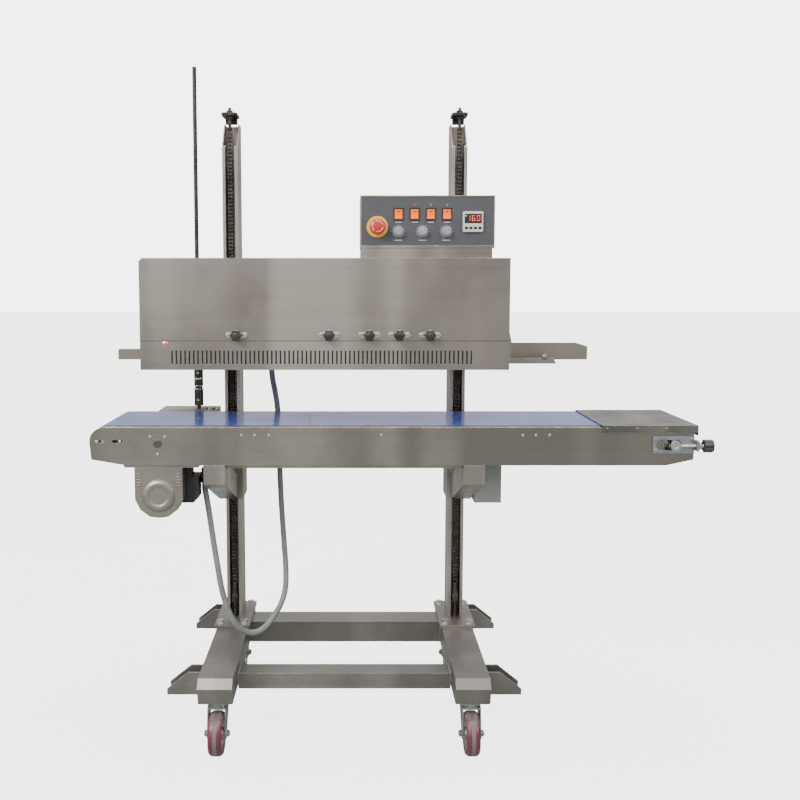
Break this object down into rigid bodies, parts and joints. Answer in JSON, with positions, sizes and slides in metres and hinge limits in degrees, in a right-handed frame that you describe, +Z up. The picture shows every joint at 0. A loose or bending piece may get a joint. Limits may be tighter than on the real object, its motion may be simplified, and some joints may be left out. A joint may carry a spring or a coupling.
{
  "type": "continuous band sealer",
  "caption": "Mobile continuous band sealer with a powered conveyor, a lifting sealing head and a control box on chain-guided columns.",
  "frame": {"origin": "on the floor below the centre of the overall box", "axes": "+X along the conveyor towards the infeed, +Y towards the columns at the back, +Z up"},
  "size_m": [1.46, 0.56, 1.65],
  "materials": {
    "stainless": "brushed stainless sheet, warm grey",
    "dark_stainless": "reflective steel with a satin finish",
    "zinc": "bright zinc plate",
    "oiled_chain": "oiled black steel",
    "caster_tread": "maroon polyurethane tread on a grey core",
    "belt": "glossy blue belt",
    "slate_paint": "slate grey-blue paint",
    "black_plastic": "black moulded plastic on steel screws",
    "motor_paint": "black paint",
    "grey_box": "grey paint",
    "conduit": "smooth grey sleeve",
    "band_fabric": "coated glass cloth",
    "block_metal": "copper alloy heating blocks and aluminium cooling blocks",
    "red_plastic": "red moulded plastic",
    "orange_lens": "lit orange lens",
    "grey_plastic": "grey moulded plastic"
  },
  "bodies": {
    "stand": {"base_frame": "stainless", "base_plates": "stainless", "foot_bolts": "zinc", "columns": "stainless", "chain_tensioners": "oiled_chain", "lift_chains": "oiled_chain", "power_conduit": "conduit"},
    "conveyor": {"conveyor_frame": "stainless", "end_cover": "dark_stainless", "conveyor_belt": "belt", "conveyor_screws": "zinc", "tension_plates": "slate_paint", "chain_guard": "stainless", "gear_motor": "motor_paint", "drive_chain": "oiled_chain", "support_arms": "stainless", "carriages": "stainless", "junction_box": "grey_box", "gearbox": "stainless"},
    "head": {"head_frame": "stainless", "upper_cover": "stainless", "vent_cover": "stainless", "knob_flanges": "zinc", "infeed_guide": "stainless", "sealing_bands": "band_fabric", "seal_blocks": "block_metal", "control_box": "stainless", "control_panel": "slate_paint"},
    "caster_fl": {"caster_fork_fl": "zinc"},
    "wheel_fl": {"caster_wheel_fl": "caster_tread"},
    "caster_fr": {"caster_fork_fr": "zinc"},
    "wheel_fr": {"caster_wheel_fr": "caster_tread"},
    "caster_rl": {"caster_fork_rl": "zinc"},
    "wheel_rl": {"caster_wheel_rl": "caster_tread"},
    "caster_rr": {"caster_fork_rr": "zinc"},
    "wheel_rr": {"caster_wheel_rr": "caster_tread"},
    "drive_roller": {"drive_roller": "dark_stainless"},
    "nose_roller": {"nose_roller": "zinc"},
    "tension_blocks": {"tension_blocks": "zinc"},
    "tension_knob": {"tension_knob": "black_plastic"},
    "tension_roller": {"tension_roller": "zinc"},
    "motor_sprocket": {"motor_sprocket": "zinc"},
    "drive_rod": {"drive_rod": "oiled_chain"},
    "band_wheel_lf": {"band_wheel_lf": "zinc"},
    "band_wheel_lb": {"band_wheel_lb": "zinc"},
    "band_wheel_rf": {"band_wheel_rf": "zinc"},
    "band_wheel_rb": {"band_wheel_rb": "zinc"},
    "pressure_knob_1": {"pressure_knob_1": "black_plastic"},
    "pressure_knob_2": {"pressure_knob_2": "black_plastic"},
    "pressure_knob_3": {"pressure_knob_3": "black_plastic"},
    "pressure_knob_4": {"pressure_knob_4": "black_plastic"},
    "pressure_knob_5": {"pressure_knob_5": "black_plastic"},
    "estop_button": {"estop_button": "red_plastic"},
    "rocker_1": {"rocker_1": "orange_lens"},
    "rocker_2": {"rocker_2": "orange_lens"},
    "rocker_3": {"rocker_3": "orange_lens"},
    "rocker_4": {"rocker_4": "orange_lens"},
    "dial_1": {"dial_1": "grey_plastic"},
    "dial_2": {"dial_2": "grey_plastic"},
    "dial_3": {"dial_3": "grey_plastic"}
  },
  "joints": [
    {"name": "conveyor_lift", "type": "slide", "parent": "stand", "child": "conveyor", "axis": [0, 0, 1], "range_m": [-0.15, 0.03], "deforming": ["power_conduit"]},
    {"name": "head_lift", "type": "slide", "parent": "stand", "child": "head", "axis": [0, 0, 1], "range_m": [-0.02, 0.2], "deforming": ["power_conduit"]},
    {"name": "caster_swivel_fl", "type": "hinge", "parent": "stand", "child": "caster_fl", "pos_m": [-0.427, -0.205, 0.11], "axis": [0, 0, 1], "continuous": true},
    {"name": "wheel_spin_fl", "type": "hinge", "parent": "caster_fl", "child": "wheel_fl", "pos_m": [-0.427, -0.23, 0.05], "axis": [1, 0, 0], "continuous": true},
    {"name": "caster_swivel_fr", "type": "hinge", "parent": "stand", "child": "caster_fr", "pos_m": [0.163, -0.205, 0.11], "axis": [0, 0, 1], "continuous": true},
    {"name": "wheel_spin_fr", "type": "hinge", "parent": "caster_fr", "child": "wheel_fr", "pos_m": [0.163, -0.23, 0.05], "axis": [1, 0, 0], "continuous": true},
    {"name": "caster_swivel_rl", "type": "hinge", "parent": "stand", "child": "caster_rl", "pos_m": [-0.427, 0.205, 0.11], "axis": [0, 0, 1], "continuous": true},
    {"name": "wheel_spin_rl", "type": "hinge", "parent": "caster_rl", "child": "wheel_rl", "pos_m": [-0.427, 0.23, 0.05], "axis": [1, 0, 0], "continuous": true},
    {"name": "caster_swivel_rr", "type": "hinge", "parent": "stand", "child": "caster_rr", "pos_m": [0.163, 0.205, 0.11], "axis": [0, 0, 1], "continuous": true},
    {"name": "wheel_spin_rr", "type": "hinge", "parent": "caster_rr", "child": "wheel_rr", "pos_m": [0.163, 0.23, 0.05], "axis": [1, 0, 0], "continuous": true},
    {"name": "drive_roller_spin", "type": "hinge", "parent": "conveyor", "child": "drive_roller", "pos_m": [-0.57, -0.025, 0.715], "axis": [0, 1, 0], "continuous": true},
    {"name": "nose_roller_spin", "type": "hinge", "parent": "conveyor", "child": "nose_roller", "pos_m": [-0.692, -0.025, 0.721], "axis": [0, 1, 0], "continuous": true},
    {"name": "tension_screw_turn", "type": "hinge", "parent": "conveyor", "child": "tension_knob", "pos_m": [0.7, -0.163, 0.713], "axis": [1, 0, 0], "range_deg": [-2530, 0]},
    {"name": "tension_slide", "type": "slide", "parent": "conveyor", "child": "tension_blocks", "axis": [1, 0, 0], "range_m": [-0.0088, 0]},
    {"name": "tension_roller_spin", "type": "hinge", "parent": "tension_blocks", "child": "tension_roller", "pos_m": [0.64, -0.025, 0.713], "axis": [0, 1, 0], "continuous": true},
    {"name": "motor_sprocket_spin", "type": "hinge", "parent": "conveyor", "child": "motor_sprocket", "pos_m": [-0.57, -0.142, 0.59], "axis": [0, 1, 0], "continuous": true},
    {"name": "drive_rod_spin", "type": "hinge", "parent": "conveyor", "child": "drive_rod", "pos_m": [-0.5235, 0.158, 0.9], "axis": [0, 0, 1], "continuous": true},
    {"name": "band_wheel_spin_lf", "type": "hinge", "parent": "head", "child": "band_wheel_lf", "pos_m": [-0.555, -0.0633, 0.912], "axis": [0, 0, 1], "continuous": true},
    {"name": "band_wheel_spin_lb", "type": "hinge", "parent": "head", "child": "band_wheel_lb", "pos_m": [-0.555, 0.0133, 0.912], "axis": [0, 0, 1], "continuous": true},
    {"name": "band_wheel_spin_rf", "type": "hinge", "parent": "head", "child": "band_wheel_rf", "pos_m": [0.198, -0.0633, 0.912], "axis": [0, 0, 1], "continuous": true},
    {"name": "band_wheel_spin_rb", "type": "hinge", "parent": "head", "child": "band_wheel_rb", "pos_m": [0.198, 0.0133, 0.912], "axis": [0, 0, 1], "continuous": true},
    {"name": "pressure_knob_1_turn", "type": "hinge", "parent": "head", "child": "pressure_knob_1", "pos_m": [-0.3875, -0.11, 0.968], "axis": [0, 1, 0], "range_deg": [-360, 360]},
    {"name": "pressure_knob_2_turn", "type": "hinge", "parent": "head", "child": "pressure_knob_2", "pos_m": [-0.168, -0.11, 0.968], "axis": [0, 1, 0], "range_deg": [-360, 360]},
    {"name": "pressure_knob_3_turn", "type": "hinge", "parent": "head", "child": "pressure_knob_3", "pos_m": [-0.0725, -0.11, 0.968], "axis": [0, 1, 0], "range_deg": [-360, 360]},
    {"name": "pressure_knob_4_turn", "type": "hinge", "parent": "head", "child": "pressure_knob_4", "pos_m": [-0.002, -0.11, 0.968], "axis": [0, 1, 0], "range_deg": [-360, 360]},
    {"name": "pressure_knob_5_turn", "type": "hinge", "parent": "head", "child": "pressure_knob_5", "pos_m": [0.071, -0.11, 0.968], "axis": [0, 1, 0], "range_deg": [-360, 360]},
    {"name": "estop_press", "type": "slide", "parent": "head", "child": "estop_button", "axis": [0, 1, 0], "range_m": [0, 0.004]},
    {"name": "rocker_1_tilt", "type": "hinge", "parent": "head", "child": "rocker_1", "pos_m": [-0.0022, -0.057, 1.2555], "axis": [1, 0, 0], "range_deg": [0, 14]},
    {"name": "rocker_2_tilt", "type": "hinge", "parent": "head", "child": "rocker_2", "pos_m": [0.0365, -0.057, 1.2555], "axis": [1, 0, 0], "range_deg": [0, 14]},
    {"name": "rocker_3_tilt", "type": "hinge", "parent": "head", "child": "rocker_3", "pos_m": [0.0752, -0.057, 1.2555], "axis": [1, 0, 0], "range_deg": [0, 14]},
    {"name": "rocker_4_tilt", "type": "hinge", "parent": "head", "child": "rocker_4", "pos_m": [0.1139, -0.057, 1.2555], "axis": [1, 0, 0], "range_deg": [0, 14]},
    {"name": "dial_1_turn", "type": "hinge", "parent": "head", "child": "dial_1", "pos_m": [-0.0022, -0.059, 1.214], "axis": [0, 1, 0], "range_deg": [-150, 150]},
    {"name": "dial_2_turn", "type": "hinge", "parent": "head", "child": "dial_2", "pos_m": [0.0552, -0.059, 1.214], "axis": [0, 1, 0], "range_deg": [-150, 150]},
    {"name": "dial_3_turn", "type": "hinge", "parent": "head", "child": "dial_3", "pos_m": [0.1126, -0.059, 1.214], "axis": [0, 1, 0], "range_deg": [-150, 150]}
  ],
  "couplings": [
    {"joint": "nose_roller_spin", "follows": "drive_roller_spin", "ratio": 1.178},
    {"joint": "tension_roller_spin", "follows": "drive_roller_spin", "ratio": 0.952},
    {"joint": "motor_sprocket_spin", "follows": "drive_roller_spin", "ratio": 1},
    {"joint": "drive_rod_spin", "follows": "drive_roller_spin", "ratio": 1},
    {"joint": "band_wheel_spin_lf", "follows": "drive_roller_spin", "ratio": -1.087},
    {"joint": "band_wheel_spin_rf", "follows": "drive_roller_spin", "ratio": -1.087},
    {"joint": "band_wheel_spin_lb", "follows": "drive_roller_spin", "ratio": 1.087},
    {"joint": "band_wheel_spin_rb", "follows": "drive_roller_spin", "ratio": 1.087},
    {"joint": "tension_screw_turn", "follows": "tension_slide", "rad_per_m": 5000}
  ]
}
